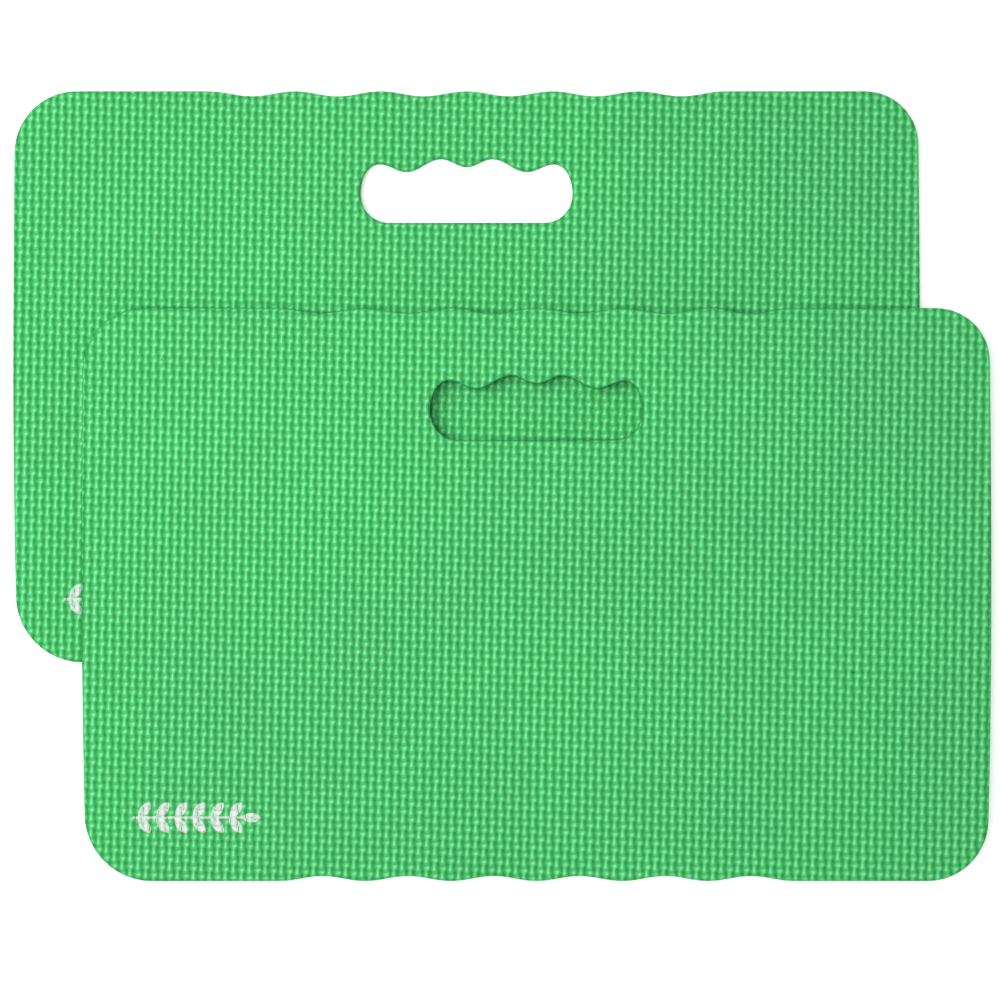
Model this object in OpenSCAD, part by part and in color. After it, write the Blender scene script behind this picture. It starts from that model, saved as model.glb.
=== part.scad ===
// A matched pair of garden kneeling pads, the upper one lying on the lower one.
// Each pad is die-cut through three bonded foam layers: a core and two embossed face sheets.
// A white leaf sprig is printed into the top face sheet, flush with it.
// The origin is the centre of the lower pad's underside. +Y points to the slot edge, +Z is up.

/* [Pad] */
// Width of a pad along its scalloped edges, at its widest
pad_w = 444.5; // [420:0.5:480]
// Depth of a pad, from one scalloped edge to the other
pad_d = 280; // [270:1:320]
// Thickness of a whole pad
pad_t = 16; // [14:1:40]
// Thickness of each embossed face sheet
sheet_t = 4; // [2:0.5:5]
// How far each short side is drawn in from its widest place where it meets the far edge
far_bow = 1; // [0:0.1:4]
// How far each short side is drawn in from its widest place where it meets the near edge
near_bow = 2.2; // [0:0.1:4]
// Radius of the far left corner
far_left_r = 30; // [20:1:36]
// Radius of the far right corner
far_right_r = 26; // [20:1:36]
// Radius of the near left corner
near_left_r = 32; // [20:1:36]
// Radius of the near right corner
near_right_r = 29; // [20:1:36]

/* [Scalloped edges] */
// Number of shallow scallops along each long edge
scallops = 6; // [3:1:6]
// Distance from one scallop to the next
scallop_pitch = 42.3; // [36:0.1:46]
// Depth of a scallop
scallop_depth = 2.5; // [1:0.1:5]

/* [Hand slot] */
// Width of the hand slot, from end to end
slot_w = 104; // [96:1:116]
// Height of the straight lower edge of the slot above the centre of the pad
slot_low = 75.5; // [68:0.5:80]
// Height of the widest part of the slot above its lower edge
slot_waist = 14.5; // [13:0.5:16]
// Height of the two middle finger grooves above the slot's lower edge
groove_h = 31.5; // [28:0.5:34]
// Height of the two outer finger grooves above the slot's lower edge
end_groove_h = 29; // [26:0.5:31]
// Height of the middle knuckle, between the two middle grooves, above the slot's lower edge
knuckle_h = 27.4; // [22:0.1:27.5]
// Height of the two outer knuckles above the slot's lower edge
end_knuckle_h = 25; // [20:0.5:25.5]
// Distance from one middle finger groove to the other
groove_gap = 25.2; // [22:0.1:28]
// Distance from one outer knuckle to the other
knuckle_gap = 59; // [54:1:64]
// Distance from one outer finger groove to the other
end_groove_gap = 86; // [80:1:92]
// Length of the straight part of the slot's lower edge
slot_flat = 77; // [60:1:88]

/* [Printed sprig] */
// Distance of the left end of the sprig from the centre of the pad
sprig_left = -197.5; // [-200:0.5:-150]
// Distance of the stem of the sprig from the centre of the pad, towards the near edge
sprig_y = -109; // [-114:0.5:-90]
// Number of pairs of leaves along the stem
leaf_pairs = 6; // [3:1:8]
// Distance from one pair of leaves to the next
leaf_pitch = 8.9; // [8:0.1:11]
// Length of a leaf
leaf_l = 9.6; // [7:0.1:11]
// Width of a leaf at its middle
leaf_w = 4.8; // [3:0.1:5.5]
// Angle between a leaf and the stem
leaf_lean = 52; // [40:1:70]
// Width of the stem
stem_w = 1.4; // [1:0.1:2]
// Depth that the ink reaches into the face sheet
ink_t = 0.4; // [0.2:0.1:1]

/* [Placing] */
// Distance of the upper pad's centre to the right of the lower pad's centre
upper_dx = 34.3; // [-60:0.1:60]
// Distance of the upper pad's centre in front of the lower pad's centre
upper_dy = 106.6; // [0:0.1:130]

/* [Hidden] */
core_green = "#3cb45f";
sheet_green = "#54c171";
ink_white = "#f2f4f2";
half_w = pad_w / 2;
half_d = pad_d / 2;
core_t = pad_t - 2 * sheet_t;
half_run = scallops * scallop_pitch / 2;
corner_steps = 14;
scallop_steps = 12;
side_steps = 10;
groove_steps = 10;
slot_end_steps = 12;
leaf_r = (leaf_l * leaf_l + leaf_w * leaf_w) / (4 * leaf_w);
leaf_fn = 48;

// A point drawn in towards the middle, by the full bow at the two long edges.
function bowed(p) =
    let (bow = p[1] > 0 ? far_bow : near_bow)
    [p[0] * (1 - bow / half_w * pow(p[1] / half_d, 2)), p[1]];

// Points of a quarter turn of a corner of radius r, starting at angle from.
function corner(x, y, r, from) =
    [for (i = [0 : corner_steps])
        let (a = from + 90 * i / corner_steps)
        [x + r * cos(a), y + r * sin(a)]];

// How far a long edge is cut in at x by its scallops.
function scallop_in(x) = scallop_depth * (1 - cos(360 * (x + half_run) / scallop_pitch)) / 2;

// Points of the far edge, from right to left.
far_edge = [for (i = [0 : scallops * scallop_steps])
    let (x = half_run - i * scallop_pitch / scallop_steps)
    [x, half_d - scallop_in(x)]];
near_edge = [for (i = [len(far_edge) - 1 : -1 : 0]) [far_edge[i][0], -far_edge[i][1]]];

// Points of a short side at x, between the heights where its corners end.
function side(x, from, to) =
    [for (i = [1 : side_steps - 1]) [x, from + (to - from) * i / side_steps]];

// Outline of the pad before its sides are bowed, anticlockwise from the near edge.
flat_pad = concat(
    near_edge,
    corner(half_w - near_right_r, near_right_r - half_d, near_right_r, -90),
    side(half_w, near_right_r - half_d, half_d - far_right_r),
    corner(half_w - far_right_r, half_d - far_right_r, far_right_r, 0),
    far_edge,
    corner(far_left_r - half_w, half_d - far_left_r, far_left_r, 90),
    side(-half_w, half_d - far_left_r, near_left_r - half_d),
    corner(near_left_r - half_w, near_left_r - half_d, near_left_r, 180));

// Points that ease from p to q, level at both ends, without q itself.
function eased(p, q) =
    [for (i = [0 : groove_steps - 1])
        let (u = i / groove_steps)
        [p[0] + (q[0] - p[0]) * u, p[1] + (q[1] - p[1]) * (1 - cos(180 * u)) / 2]];

// Grooves and knuckles of the slot's upper edge, as heights above its lower edge, left to right.
slot_turns = [
    [-end_groove_gap / 2, end_groove_h], [-knuckle_gap / 2, end_knuckle_h],
    [-groove_gap / 2, groove_h], [0, knuckle_h], [groove_gap / 2, groove_h],
    [knuckle_gap / 2, end_knuckle_h], [end_groove_gap / 2, end_groove_h]];

// Points of the slot's right end, from the outer groove round to the lower edge.
end_reach = (slot_w - end_groove_gap) / 2;
flat_reach = (slot_w - slot_flat) / 2;
right_end = concat(
    [for (i = [0 : slot_end_steps])
        let (a = 90 - 90 * i / slot_end_steps)
        [end_groove_gap / 2 + end_reach * cos(a),
         slot_waist + (end_groove_h - slot_waist) * sin(a)]],
    [for (i = [1 : slot_end_steps])
        let (a = -90 * i / slot_end_steps)
        [slot_flat / 2 + flat_reach * cos(a), slot_waist + slot_waist * sin(a)]]);
left_end = [for (i = [len(right_end) - 1 : -1 : 1]) [-right_end[i][0], right_end[i][1]]];

slot_points = concat(
    [for (i = [0 : len(slot_turns) - 2]) each eased(slot_turns[i], slot_turns[i + 1])],
    right_end,
    left_end);

// Outline of a pad with its hand slot.
module pad_outline() {
    difference() {
        polygon([for (p = flat_pad) bowed(p)]);
        translate([0, slot_low]) polygon(slot_points);
    }
}

// A layer of one pad, from height z.
module layer(z, thickness) {
    translate([0, 0, z]) linear_extrude(thickness) pad_outline();
}

// One pointed leaf that starts at the origin and lies along +X.
module leaf() {
    translate([leaf_l / 2, 0])
        intersection() {
            translate([0, leaf_r - leaf_w / 2]) circle(leaf_r, $fn = leaf_fn);
            translate([0, leaf_w / 2 - leaf_r]) circle(leaf_r, $fn = leaf_fn);
        }
}

// Outline of the sprig: a stem, its pairs of leaves and one leaf at its tip.
module sprig() {
    stem_l = leaf_pairs * leaf_pitch;
    translate([sprig_left, sprig_y]) {
        translate([0, -stem_w / 2]) square([stem_l + leaf_l / 4, stem_w]);
        translate([stem_l, 0]) leaf();
        for (i = [0 : leaf_pairs - 1], s = [-1, 1])
            translate([leaf_pitch * (i + 0.35), 0]) rotate(s * leaf_lean) leaf();
    }
}

// The ink of the sprig, let into the top face so that it ends flush with it.
module ink() {
    translate([0, 0, pad_t - ink_t]) linear_extrude(ink_t) sprig();
}

module core() {
    color(core_green) layer(sheet_t, core_t);
}

module bottom_sheet() {
    color(sheet_green) layer(0, sheet_t);
}

module top_sheet() {
    color(sheet_green)
        difference() {
            layer(pad_t - sheet_t, sheet_t);
            ink();
        }
}

module print() {
    color(ink_white) ink();
}

// Moves a piece from the lower pad to its place on the upper pad.
module on_upper_pad() {
    translate([upper_dx, -upper_dy, pad_t]) children();
}

module lower_core() {
    core();
}

module lower_top_sheet() {
    top_sheet();
}

module lower_bottom_sheet() {
    bottom_sheet();
}

module lower_print() {
    print();
}

module upper_core() {
    on_upper_pad() core();
}

module upper_top_sheet() {
    on_upper_pad() top_sheet();
}

module upper_bottom_sheet() {
    on_upper_pad() bottom_sheet();
}

module upper_print() {
    on_upper_pad() print();
}

lower_core();
lower_top_sheet();
lower_bottom_sheet();
lower_print();
upper_core();
upper_top_sheet();
upper_bottom_sheet();
upper_print();
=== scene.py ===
"""Looks of two embossed foam kneeling pads, one lying on the other.

Every piece of a pad is built round the pad's own centre, with its underside at z = 0, and then
placed where the CAD frame has that pad. Outlines, slots and print are read from the CAD nodes.
The weave is real relief: columns of T-shaped knots, whose height the function relief() gives.
"""

import bpy
import numpy as np
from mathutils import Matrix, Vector, kdtree
from mathutils.geometry import delaunay_2d_cdt


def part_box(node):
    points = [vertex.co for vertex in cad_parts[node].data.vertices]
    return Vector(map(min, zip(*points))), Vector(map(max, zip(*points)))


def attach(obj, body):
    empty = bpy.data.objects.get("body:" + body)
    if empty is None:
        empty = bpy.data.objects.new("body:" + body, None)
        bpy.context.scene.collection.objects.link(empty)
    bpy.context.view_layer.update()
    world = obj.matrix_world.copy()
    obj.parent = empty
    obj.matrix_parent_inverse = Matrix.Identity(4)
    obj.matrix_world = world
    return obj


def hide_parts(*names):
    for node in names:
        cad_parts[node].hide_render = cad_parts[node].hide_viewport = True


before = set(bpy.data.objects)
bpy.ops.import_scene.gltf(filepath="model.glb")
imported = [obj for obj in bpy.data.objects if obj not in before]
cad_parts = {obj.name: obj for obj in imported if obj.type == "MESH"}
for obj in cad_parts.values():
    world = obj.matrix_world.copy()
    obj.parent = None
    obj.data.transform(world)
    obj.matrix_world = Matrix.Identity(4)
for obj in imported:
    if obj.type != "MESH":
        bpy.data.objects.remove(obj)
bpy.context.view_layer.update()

MM = 0.001

# Weave, as pressed into both faces
COLUMN = 3.99 * MM  # from one column of knots to the next, at the middle of a pad
UNIT = 7.74 * MM  # from one knot to the next down a column
STRETCH = 0.15  # how much wider the columns are for each metre to the right
COLUMN_LEAN = 0.0157  # sideways run of a column for its length
ROW_SLOPE = 0.0316  # fall of a row to the right
RELIEF = 1.25 * MM  # height of the knots above the grooves
CLEAR = 0.1 * MM  # the highest knots stay this far inside the pad's thickness
KNOT_START = 0.35  # share of a unit, above its knot's middle, that still belongs to the knot
HIGHEST = 1.08  # what knot_unit() gives on a high knot
UNEVEN = 0.07  # how much higher or lower than the others a single knot can be

# Die-cut edges
EDGE_R = 1.3 * MM  # rounding of the top and bottom edges
WAIST = 0.45 * MM  # how far the cut wall is drawn in at half height
SEAM = 0.2 * MM  # how far the wall steps in where two layers are bonded
STEP = 0.7 * MM  # distance between points along an edge
GRID_GAP = 0.35 * MM  # the least distance from the rounding of an edge to the grid of the weave

# Lines of mesh through one column, and rows through one unit
FINE = ((-0.5, -0.34, -0.2, 0.0, 0.2, 0.34), 10)
PLAIN = ((-0.5, -0.25, 0.0, 0.25), 6)

# Moulding pinholes in the kneeling face
PINHOLES = ((-0.1830, 0.1152), (0.1548, -0.0381))
PINHOLE_R = 0.593 * MM
PINHOLE_DEPTH = 0.8 * MM

INK_T = 0.08 * MM  # how far the ink stands on the foam skin
INK_STEP = 0.5 * MM  # distance between points of the ink film

ROOM_LIGHT = 0.4  # light from all round, against 1 as it is seen
FLOOR_GLOW = 0.3  # light of its own that the floor gives, as a light table does
FLOOR_R = 80.0  # half the width of the floor
OVERHEAD_FROM, OVERHEAD_LIGHT = Vector((-0.08, 0, 1)), 1.95
SOFT_BOX_FROM, SOFT_BOX_LIGHT = Vector((-0.32, 0.12, 0.85)), 6.6

VIEW_WIDTH = 0.4892  # width of the camera's view at the pads
VIEW_HEIGHT = 5.0  # height of the camera above the pads
VIEW_AIM = Vector((-0.0007, -0.0071, 0))  # centre of the view from the middle of the two pads

SIZES = np.random.default_rng(7).uniform(-1, 1, (128, 128))  # unevenness of single knots


def box_of(node):
    low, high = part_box(node)
    return np.array(low), np.array(high)


def pad_place(pad):
    """Where the centre of a pad's underside is, in the frame."""
    low, high = box_of(pad + "_bottom_sheet")
    return Vector(((low[0] + high[0]) / 2, (low[1] + high[1]) / 2, low[2]))


PLACES = {pad: pad_place(pad) for pad in ("lower", "upper")}
PAD_T = PLACES["upper"].z
SHEET_T = float(np.subtract(*box_of("lower_top_sheet")[::-1])[2])


# ---------------------------------------------------------------- weave


def smooth(a, b, x):
    t = np.clip((x - a) / (b - a), 0, 1)
    return t * t * (3 - 2 * t)


def to_weave(x, y):
    """Column and row, with its fraction, of points of a pad. Rows count down in half units."""
    across = x - COLUMN_LEAN * y
    down = -(y + ROW_SLOPE * x)
    return np.log1p(STRETCH * across) / (STRETCH * COLUMN), down / (UNIT / 2)


def from_weave(column, row):
    """Points of a pad from their column and row."""
    across = np.expm1(column * STRETCH * COLUMN) / STRETCH
    down = row * UNIT / 2
    x = (across - COLUMN_LEAN * down) / (1 + COLUMN_LEAN * ROW_SLOPE)
    return x, -down - ROW_SLOPE * x


def knot_unit(s, t, size):
    """Height of a knot and the bar under it. s is to the right and t down from the knot, in mm."""
    swell = smooth(1.1, 5.5, t)  # from the neck under the knot to the thick end of the bar
    start, end = smooth(-0.8, 0.3, t), 1 - smooth(6.4, 7.5, t)
    dip = 1 - 0.65 * smooth(4.8, 6.4, t)  # between the bar and the next knot
    bar_half = 1.15 + 0.4 * swell
    bar = (0.7 + 0.38 * swell) * start * dip * end * np.exp(-(np.abs(s / bar_half) ** 4))
    crown = 0.72 + 0.24 * np.clip((s + 0.2) / 1.5, -1, 1)  # a knot is higher on its right
    knot = crown * np.exp(-(np.abs((s + 0.1) / 2.15) ** 7) - np.abs((t + 0.2) / 1.45) ** 4)
    return np.cbrt(bar**3 + knot**3) * (1 + UNEVEN * size)


def relief(x, y):
    """Height of the weave at points of a pad, from 0 in a groove to 1 on a high knot."""
    column, row = to_weave(x, y)
    cubes = np.zeros_like(x)
    for step in (-1, 0, 1):
        i = np.round(column) + step
        s = (column - i) * COLUMN / MM
        units = row / 2 - (i % 2) / 2
        unit = np.floor(units + KNOT_START)
        for above in (0, 1):
            t = (units - unit + above) * UNIT / MM
            size = SIZES[(i % len(SIZES)).astype(int), ((unit - above) % len(SIZES)).astype(int)]
            cubes += knot_unit(s, t, size) ** 3
    return np.minimum(np.cbrt(cubes) / HIGHEST, 1)


def pinhole(x, y):
    """1 in the middle of a pinhole, falling to 0 round it."""
    far = [np.hypot(x - px, y - py) for px, py in PINHOLES]
    return np.exp(-((np.min(far, axis=0) / PINHOLE_R) ** 2))


def skin_height(x, y, deep):
    """Height of the kneeling face at points that lie deep inside the outline."""
    out = np.clip(EDGE_R - deep, 0, EDGE_R)
    rounding = EDGE_R - np.sqrt(EDGE_R**2 - out**2)
    drop = RELIEF * (1 - relief(x, y)) + PINHOLE_DEPTH * pinhole(x, y)
    return PAD_T - CLEAR - rounding - drop


# ---------------------------------------------------------------- outlines


def outline_loops(node):
    """Closed loops of points round a CAD node's top face, with the solid on their left."""
    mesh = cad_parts[node].data
    top = max(v.co.z for v in mesh.vertices)
    edges = set()
    for face in mesh.polygons:
        corners = [mesh.vertices[i].co for i in face.vertices]
        if min(c.z for c in corners) > top - 1e-6:
            keys = [(round(c.x, 6), round(c.y, 6)) for c in corners]
            for a, b in zip(keys, keys[1:] + keys[:1]):
                if (b, a) in edges:
                    edges.remove((b, a))
                else:
                    edges.add((a, b))
    after = dict(edges)
    loops = []
    while after:
        start = min(after)
        loop = [start]
        while (following := after.pop(loop[-1])) != start:
            loop.append(following)
        loops.append(np.array(loop) - np.array(PLACES["lower"])[:2])
    return loops


def even_loop(loop, step, rounding):
    """The loop with evenly spaced points, eased that many times round its corners."""
    closed = np.vstack([loop, loop[:1]])
    lengths = np.r_[0, np.cumsum(np.linalg.norm(np.diff(closed, axis=0), axis=1))]
    count = max(8, round(lengths[-1] / step))
    at = np.arange(count) * lengths[-1] / count
    points = np.column_stack([np.interp(at, lengths, closed[:, k]) for k in (0, 1)])
    for _ in range(rounding):
        points = (np.roll(points, 1, 0) + 2 * points + np.roll(points, -1, 0)) / 4
    return points


def outward(points):
    """Directions out of the solid at the points of a loop."""
    along = np.roll(points, -1, 0) - np.roll(points, 1, 0)
    along /= np.linalg.norm(along, axis=1, keepdims=True)
    return np.column_stack([along[:, 1], -along[:, 0]])


def inset_loops(loops, inset):
    return np.vstack([loop - outward(loop) * inset for loop in loops])


def loop_edges(loops):
    """Pairs of indices of neighbouring points, once the loops are stacked."""
    pairs, start = [], 0
    for loop in loops:
        i = np.arange(len(loop))
        pairs.append(np.column_stack([i, np.roll(i, -1)]) + start)
        start += len(loop)
    return np.vstack(pairs)


def depth_finder(loops):
    """A function that gives how deep points lie inside the solid that the loops go round."""
    points, normals = np.vstack(loops), np.vstack([outward(loop) for loop in loops])
    tree = kdtree.KDTree(len(points))
    for i, (x, y) in enumerate(points.tolist()):
        tree.insert((x, y, 0), i)
    tree.balance()

    def depth(x, y):
        near = np.array([tree.find((a, b, 0))[1] for a, b in zip(x.tolist(), y.tolist())])
        return np.einsum("ij,ij->i", points[near] - np.column_stack([x, y]), normals[near])

    return depth


def enclosed(spots, points, edges):
    """Whether each spot lies inside the closed edges, by the edges that a line from it crosses."""
    x, y = spots.T
    inside = np.zeros(len(spots), bool)
    for (ax, ay), (bx, by) in zip(points[edges[:, 0]].tolist(), points[edges[:, 1]].tolist()):
        if ay != by:
            inside ^= ((ay > y) != (by > y)) & (x < (bx - ax) * (y - ay) / (by - ay) + ax)
    return inside


def regions(faces, edges):
    """A number for each triangle, the same for all that connect without crossing the edges.

    Triangles on the outer border of the triangulation connect through what lies outside it.
    """
    walls = {frozenset(edge) for edge in edges.tolist()}
    sides = {}
    for k, (a, b, c) in enumerate(faces.tolist()):
        for side in map(frozenset, ((a, b), (b, c), (c, a))):
            if side not in walls:
                sides.setdefault(side, []).append(k)
    outside = len(faces)
    region = list(range(outside + 1))

    def root(k):
        while region[k] != k:
            region[k] = region[region[k]]
            k = region[k]
        return k

    for first, *others in sides.values():
        region[root(first)] = root(others[0] if others else outside)
    return np.array([root(k) for k in range(len(faces))])


def fill(points, edges):
    """Triangles that fill the area between closed edges."""
    flat = [Vector(p) for p in points.tolist()]
    _, _, faces, origin, _, _ = delaunay_2d_cdt(flat, edges.tolist(), [], 0, 1e-9)
    faces = np.array([o[0] for o in origin])[np.array(faces)]
    a, b, c = (points[faces[:, k]] for k in range(3))
    area = np.abs((b - a)[:, 0] * (c - a)[:, 1] - (b - a)[:, 1] * (c - a)[:, 0])
    vote = area * np.where(enclosed((a + b + c) / 3, points, edges), 1, -1)
    region = regions(faces, edges)
    return faces[np.bincount(region, vote)[region] > 0]


# ---------------------------------------------------------------- meshes


def make_piece(name, verts, parts, attributes, place):
    """A mesh piece. parts are (faces, material index, shaded smooth)."""
    faces = [np.asarray(f, int) for f, _, _ in parts]
    sizes = np.concatenate([np.full(len(f), f.shape[1]) for f in faces])
    mesh = bpy.data.meshes.new(name)
    mesh.vertices.add(len(verts))
    mesh.vertices.foreach_set("co", verts.astype(np.float32).ravel())
    mesh.loops.add(int(sizes.sum()))
    corners = np.concatenate([f.ravel() for f in faces])
    mesh.loops.foreach_set("vertex_index", corners.astype(np.int32))
    mesh.polygons.add(len(sizes))
    mesh.polygons.foreach_set("loop_start", np.r_[0, np.cumsum(sizes)[:-1]].astype(np.int32))
    for key, k in (("material_index", 1), ("use_smooth", 2)):
        mesh.polygons.foreach_set(key, np.repeat([p[k] for p in parts], [len(f) for f in faces]))
    for key, values in attributes.items():
        layer = mesh.attributes.new(key, "FLOAT", "POINT")
        layer.data.foreach_set("value", values.astype(np.float32))
    mesh.update(calc_edges=True)
    made = bpy.data.objects.new(name, mesh)
    made.location = place
    bpy.context.scene.collection.objects.link(made)
    return made


def turned_over(verts, parts, attributes):
    """The same mesh as the other face of a pad."""
    verts = verts * (1, 1, -1) + (0, 0, PAD_T)
    return verts, [(faces[:, ::-1], slot, shaded) for faces, slot, shaded in parts], attributes


def foam_dents(x, y, z):
    """Small uneven dents of a cut wall, in metres."""
    x, y, z = x / MM, y / MM, z / MM
    coarse = np.sin(0.9 * x + 1.7 * z) * np.sin(0.8 * y - 1.3 * z)
    fine = np.sin(4.1 * x + 3.3 * z + 2 * np.sin(2.3 * y)) * np.sin(3.7 * y - 4.9 * z)
    return (0.04 * coarse + 0.035 * fine) * MM


def wall_ring(z, extra):
    """One ring of points of the cut wall at the heights z, drawn in by the waist and by extra."""
    base, out = np.vstack(LOOPS), np.vstack([outward(loop) for loop in LOOPS])
    z = np.broadcast_to(z, len(base))
    inset = WAIST * (1 - (2 * z / PAD_T - 1) ** 2) + extra
    inset = inset + foam_dents(*base.T, z) * smooth(0, 0.1 * MM, inset)
    return np.column_stack([base - out * inset[:, None], z])


def bands(first, count):
    """Quads between neighbouring rings of points, the first one outermost or lowest."""
    quads = []
    for k in range(count - 1):
        low = RING + first + k * len(RING)
        quads.append(np.column_stack([low, low[:, ::-1] + len(RING)]))
    return np.vstack(quads)


LOOPS = [even_loop(loop, STEP, 4) for loop in outline_loops("lower_core")]
RING = loop_edges(LOOPS)
depth_in_pad = depth_finder(LOOPS)


def core_mesh():
    """The middle layer: a slab with a waisted, slightly dented cut wall."""
    shares = np.array([0, 0.04, 0.1, 0.2, 0.35, 0.5, 0.65, 0.8, 0.9, 0.96, 1])
    extra = SEAM * np.array([1, 0.4, 0, 0, 0, 0, 0, 0, 0, 0.4, 1])
    heights = SHEET_T + shares * (PAD_T - 2 * SHEET_T)
    verts = np.vstack([wall_ring(z, e) for z, e in zip(heights, extra)])
    face = fill(verts[: len(RING), :2], RING)
    top = face + (len(heights) - 1) * len(RING)
    parts = [(bands(0, len(heights)), 0, True), (face[:, ::-1], 0, False), (top, 0, False)]
    return verts, parts, {}


def weave_grid(detail):
    """Points of a grid that follows the weave, its cells clear of the edges, and their border."""
    lines, rows = detail
    reach = np.abs(np.vstack(LOOPS)).max(axis=0)
    columns = int(reach[0] / COLUMN) + 5
    units = int((reach[1] + ROW_SLOPE * reach[0]) / UNIT) + 2
    u = (np.arange(-columns, columns)[:, None] + np.array(lines)).ravel()
    v = np.arange(-units * rows, units * rows + 1) * 2 / rows
    x, y = from_weave(*np.meshgrid(u, v))
    clear = depth_in_pad(x.ravel(), y.ravel()).reshape(x.shape) > EDGE_R + GRID_GAP
    cells = clear[:-1, :-1] & clear[1:, :-1] & clear[:-1, 1:] & clear[1:, 1:]
    index = np.arange(x.size).reshape(x.shape)
    quads = np.stack([index[1:, :-1], index[1:, 1:], index[:-1, 1:], index[:-1, :-1]], -1)[cells]
    across = np.diff(np.pad(cells, 1).astype(int), axis=1)[1:-1] != 0
    down = np.diff(np.pad(cells, 1).astype(int), axis=0)[:, 1:-1] != 0
    border = np.vstack([
        np.column_stack([index[:-1][across], index[1:][across]]),
        np.column_stack([index[:, :-1][down], index[:, 1:][down]])])
    return np.column_stack([x.ravel(), y.ravel()]), quads, border


def sheet_mesh(detail):
    """An embossed face sheet: its weave, rounded die-cut edge, cut wall and bonded flat face."""
    grid, quads, border = weave_grid(detail)
    used, packed = np.unique(quads, return_inverse=True)
    quads = packed.reshape(quads.shape)
    border = np.searchsorted(used, border)
    grid = grid[used]

    edge_depths = EDGE_R * np.array([1, 0.7, 0.4, 0.15, 0])
    rings = [inset_loops(LOOPS, deep) for deep in edge_depths]
    strip_border = np.unique(border)
    points = np.vstack([rings[0], grid[strip_border]])
    edges = np.vstack([RING, np.searchsorted(strip_border, border) + len(RING)])
    strip = fill(points, edges)
    ids = np.r_[np.arange(len(RING)) + len(grid), strip_border]
    strip = ids[strip]

    flat = np.vstack([grid, *rings])
    deep = np.r_[np.full(len(grid), EDGE_R), np.repeat(edge_depths, len(RING))]
    top = np.column_stack([flat, skin_height(*flat.T, deep)])
    lip = top[-len(RING) :, 2]
    joint = PAD_T - SHEET_T
    shares, extra = (0.3, 0.6, 0.85, 0.94, 1), SEAM * np.array([0, 0, 0, 0.4, 1])
    walls = [wall_ring(lip + (joint - lip) * f, e) for f, e in zip(shares, extra)]
    verts = np.vstack([top, *walls])

    last = len(verts) - len(RING)
    back = fill(verts[last:, :2], RING)[:, ::-1] + last
    edge_bands = bands(len(grid), len(rings))[:, ::-1]
    wall_bands = bands(len(grid) + (len(rings) - 1) * len(RING), len(walls) + 1)[:, ::-1]
    shape = np.r_[relief(*flat.T), np.full(len(verts) - len(flat), 0.5)]
    hole = np.r_[pinhole(*flat.T), np.zeros(len(verts) - len(flat))]
    parts = [(quads, 0, True), (strip, 0, True), (edge_bands, 0, True),
             (wall_bands, 1, True), (back, 1, False)]
    return verts, parts, {"relief": shape, "pinhole": hole}


def ink_mesh():
    """The printed sprig: a film that lies over the weave."""
    loops = [even_loop(loop, INK_STEP, 1) for loop in outline_loops("lower_print")]
    rim, edges = np.vstack(loops), loop_edges(loops)
    x, y = np.meshgrid(*[np.arange(rim[:, k].min(), rim[:, k].max(), INK_STEP) for k in (0, 1)])
    spots = np.column_stack([x.ravel(), y.ravel()])
    apart = np.min([np.hypot(*(spots - p).T) for p in rim], axis=0)
    spots = spots[enclosed(spots, rim, edges) & (apart > 0.6 * INK_STEP)]
    flat = np.vstack([rim, spots])
    skin = skin_height(*flat.T, EDGE_R)
    faces = fill(flat, edges)
    verts = np.vstack([np.column_stack([flat, skin + INK_T]), np.column_stack([flat, skin - INK_T])])
    side = np.column_stack([edges + len(flat), edges[:, ::-1]])
    parts = [(faces, 0, True), (faces[:, ::-1] + len(flat), 0, True), (side, 0, True)]
    return verts, parts, {"relief": np.tile(relief(*flat.T), 2)}


# ---------------------------------------------------------------- materials


class Nodes:
    """Short way to make and link shader nodes of one material."""

    def __init__(self, name):
        self.material = bpy.data.materials.new(name)
        self.material.use_nodes = True
        self.tree = self.material.node_tree
        self.shader = self.tree.nodes["Principled BSDF"]

    def add(self, kind, inputs=None, **settings):
        node = self.tree.nodes.new(kind)
        for key, value in settings.items():
            setattr(node, key, value)
        for key, value in (inputs or {}).items():
            self.set(node.inputs[key], value)
        return node

    def set(self, socket, value):
        if isinstance(value, bpy.types.NodeSocket):
            self.tree.links.new(value, socket)
        else:
            socket.default_value = value

    def place(self):
        """Position on the piece, in metres."""
        return self.add("ShaderNodeTexCoord").outputs["Object"]

    def attribute(self, name):
        return self.add("ShaderNodeAttribute", attribute_name=name).outputs["Fac"]

    def noise(self, scale, detail=2.0, roughness=0.5):
        inputs = {"Vector": self.place(), "Scale": scale, "Detail": detail, "Roughness": roughness}
        return self.add("ShaderNodeTexNoise", inputs).outputs["Fac"]

    def remap(self, value, low, high, to_low, to_high):
        inputs = {0: value, 1: low, 2: high, 3: to_low, 4: to_high}
        return self.add("ShaderNodeMapRange", inputs).outputs[0]

    def mix(self, share, a, b, blend="MIX"):
        node = self.add("ShaderNodeMix", data_type="RGBA", blend_type=blend)
        for key, value in zip((0, 6, 7), (share, a, b)):
            self.set(node.inputs[key], value)
        return node.outputs[2]

    def bump(self, height, distance, strength, normal=None):
        inputs = {"Height": height, "Distance": distance, "Strength": strength}
        if normal:
            inputs["Normal"] = normal
        return self.add("ShaderNodeBump", inputs).outputs["Normal"]

    def finish(self, **sockets):
        for key, value in sockets.items():
            self.set(self.shader.inputs[key.replace("_", " ")], value)
        return self.material


SKIN_HIGH = (0.034, 0.446, 0.118, 1)
# painted shade: the skin's colour down in the grooves
SKIN_GROOVE_PAINTED_SHADE = (0.004, 0.186, 0.030, 1)
FOAM = (0.050, 0.400, 0.112, 1)
FOAM_DEEP = (0.026, 0.290, 0.070, 1)
INK = (0.50, 0.47, 0.49, 1)
PINHOLE_PAINTED_SHADE = (0.002, 0.018, 0.006, 1)  # painted shade down in a pinhole


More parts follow.
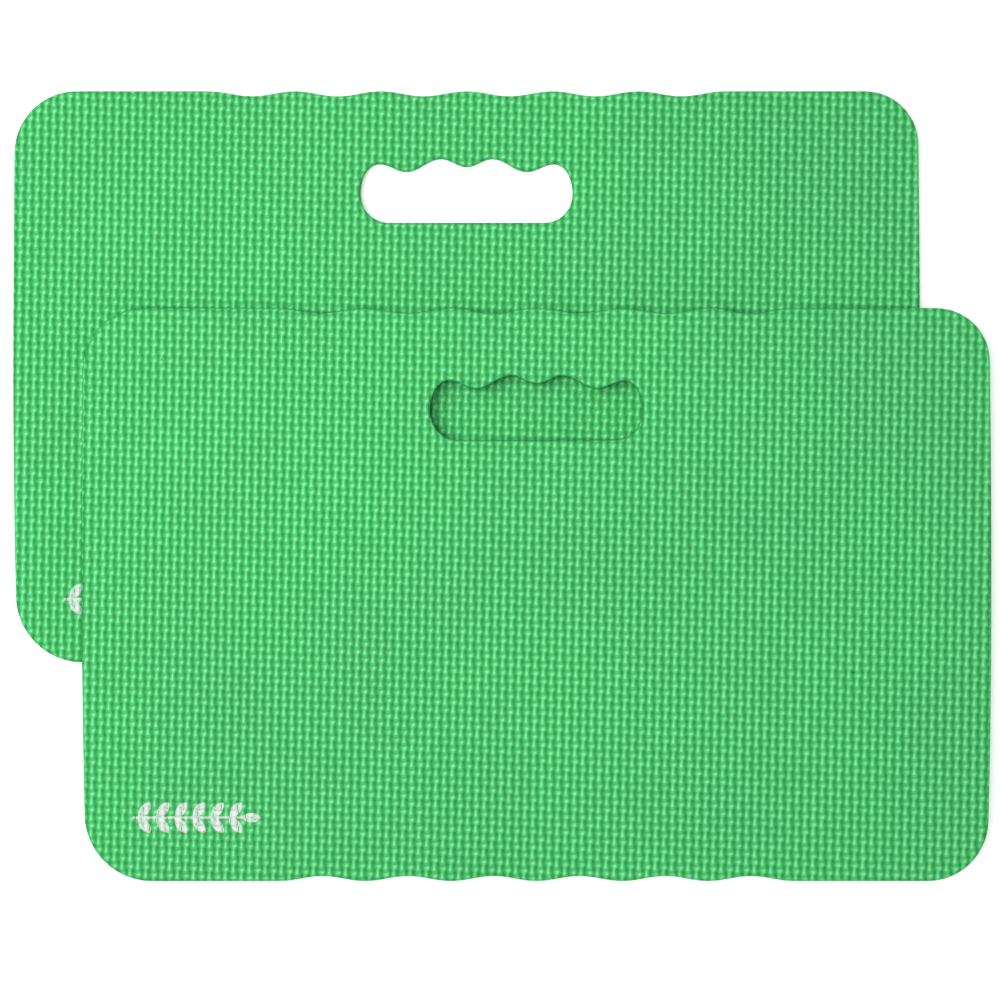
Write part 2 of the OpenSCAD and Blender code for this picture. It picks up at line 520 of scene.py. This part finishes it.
def skin_material():
    """Satin foam skin: paler on the knots, darker and duller down in the grooves; the darkening there
    is shade painted into the colour.
    """
    n = Nodes("foam_skin")
    height = n.attribute("relief")
    # painted shade: the colour darkens from the knots down into the grooves, by the relief height
    colour = n.mix(n.remap(height, 0.15, 0.95, 0, 1), SKIN_GROOVE_PAINTED_SHADE, SKIN_HIGH)
    patches = n.remap(n.noise(9, 3), 0.3, 0.7, 0.95, 1.05)
    specks = n.remap(n.noise(1400, 2), 0.25, 0.75, 0.93, 1.07)
    tone = n.add("ShaderNodeMath", {0: patches, 1: specks}, operation="MULTIPLY").outputs[0]
    colour = n.mix(1.0, colour, n.add("ShaderNodeCombineColor", {0: tone, 1: tone, 2: tone}).outputs[0],
                   "MULTIPLY")
    # painted shade: the colour goes near black in the middle of each pinhole
    colour = n.mix(n.remap(n.attribute("pinhole"), 0.25, 0.8, 0, 1), colour, PINHOLE_PAINTED_SHADE)
    rough = n.remap(height, 0.3, 0.8, 0.95, 0.46)
    grain = n.bump(n.noise(5200, 2), 0.0001, 0.25, n.bump(n.noise(1100, 2), 0.0003, 0.2))
    return n.finish(Base_Color=colour, Roughness=rough, Normal=grain, Specular_IOR_Level=0.68)


def cut_material():
    """Matt cut foam: fine closed cells, a little paler than the skin's grooves."""
    n = Nodes("cut_foam")
    cells = n.add("ShaderNodeTexVoronoi", {"Vector": n.place(), "Scale": 1500.0}).outputs["Distance"]
    patches = n.noise(300, 3)
    colour = n.mix(n.remap(cells, 0.1, 0.7, 0, 1), FOAM_DEEP, FOAM)
    colour = n.mix(n.remap(patches, 0.35, 0.65, 0, 0.35), colour, FOAM)
    rough = n.remap(patches, 0.3, 0.7, 0.72, 0.88)
    grain = n.bump(cells, 0.0004, 0.6)
    return n.finish(Base_Color=colour, Roughness=rough, Normal=grain)


def ink_material():
    """Matt white ink, thin where it runs down into the grooves."""
    n = Nodes("print_ink")
    worn = n.remap(n.attribute("relief"), 0.1, 0.6, 0.55, 0)
    spots = n.remap(n.noise(700, 2), 0.42, 0.7, 0, 0.4)
    share = n.add("ShaderNodeMath", {0: worn, 1: spots}, operation="MAXIMUM").outputs[0]
    colour = n.mix(share, INK, SKIN_HIGH)
    grain = n.bump(n.noise(2500, 2), 0.0001, 0.3)
    return n.finish(Base_Color=colour, Roughness=n.remap(share, 0, 0.5, 0.5, 0.6), Normal=grain)


def floor_material():
    n = Nodes("floor")
    colour = n.mix(n.noise(0.8, 2), (0.90, 0.90, 0.90, 1), (0.93, 0.93, 0.93, 1))
    return n.finish(Base_Color=colour, Roughness=0.9, Emission_Color=(1, 1, 1, 1),
                    Emission_Strength=FLOOR_GLOW)


# ---------------------------------------------------------------- build


def add_pads():
    """All layers of both pads, each in place of its CAD node."""
    skin, cut, ink = skin_material(), cut_material(), ink_material()
    layers = {
        "core": ("core_foam", core_mesh(), [cut], "foam_core"),
        "top_sheet": ("top_sheet_foam", sheet_mesh(FINE), [skin, cut], "foam_skin"),
        "bottom_sheet": ("bottom_sheet_foam", turned_over(*sheet_mesh(PLAIN)), [skin, cut],
                         "foam_skin"),
        "print": ("ink_film", ink_mesh(), [ink], "print_ink"),
    }
    for pad, place in PLACES.items():
        for layer, (name, shape, materials, slot) in layers.items():
            piece = make_piece(f"{pad}_{name}", *shape, place)
            for material in materials:
                piece.data.materials.append(material)
            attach(piece, f"{pad}_pad")
            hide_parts(f"{pad}_{layer}")


def add_floor():
    mesh = bpy.data.meshes.new("floor")
    corners = [(FLOOR_R * x, FLOOR_R * y, 0) for x, y in ((-1, -1), (1, -1), (1, 1), (-1, 1))]
    mesh.from_pydata(corners, [], [(0, 1, 2, 3)])
    floor = bpy.data.objects.new("floor", mesh)
    mesh.materials.append(floor_material())
    bpy.context.scene.collection.objects.link(floor)


def add_lamp(name, kind, place, aim, energy):
    """A lamp at place, turned towards aim."""
    lamp = bpy.data.lights.new(name, kind)
    lamp.energy = energy
    made = bpy.data.objects.new(name, lamp)
    made.location = place
    made.rotation_euler = (aim - place).to_track_quat("-Z", "Y").to_euler()
    made.visible_camera = False
    bpy.context.scene.collection.objects.link(made)
    return lamp


def add_light(middle):
    """A white room with a broad soft light overhead and a smaller soft box nearer the left."""
    world = bpy.data.worlds.new("studio")
    bpy.context.scene.world = world
    world.use_nodes = True
    tree = world.node_tree
    background = tree.nodes["Background"]
    background.inputs["Color"].default_value = (1, 1, 1, 1)
    seen = tree.nodes.new("ShaderNodeLightPath").outputs["Is Camera Ray"]
    strength = tree.nodes.new("ShaderNodeMapRange")
    strength.inputs["To Min"].default_value = ROOM_LIGHT
    tree.links.new(seen, strength.inputs["Value"])
    tree.links.new(strength.outputs[0], background.inputs["Strength"])
    overhead = add_lamp("overhead", "SUN", middle + OVERHEAD_FROM, middle, OVERHEAD_LIGHT)
    overhead.angle = 0.30
    box = add_lamp("soft_box", "AREA", middle + SOFT_BOX_FROM, middle, SOFT_BOX_LIGHT)
    box.shape, box.size = "DISK", 0.5


def add_camera(middle):
    """Straight above, so far off that it sees the pads almost without perspective."""
    data = bpy.data.cameras.new("camera")
    data.lens = data.sensor_width * VIEW_HEIGHT / VIEW_WIDTH
    data.clip_start, data.clip_end = 0.1, 300
    camera = bpy.data.objects.new("camera", data)
    camera.location = middle + VIEW_AIM + Vector((0, 0, VIEW_HEIGHT))
    bpy.context.scene.collection.objects.link(camera)
    bpy.context.scene.camera = camera


add_pads()
middle_of_pads = (PLACES["lower"] + PLACES["upper"]) / 2 + Vector((0, 0, PAD_T))
add_floor()
add_light(middle_of_pads)
add_camera(middle_of_pads)
bpy.context.scene.view_settings.view_transform = "Standard"
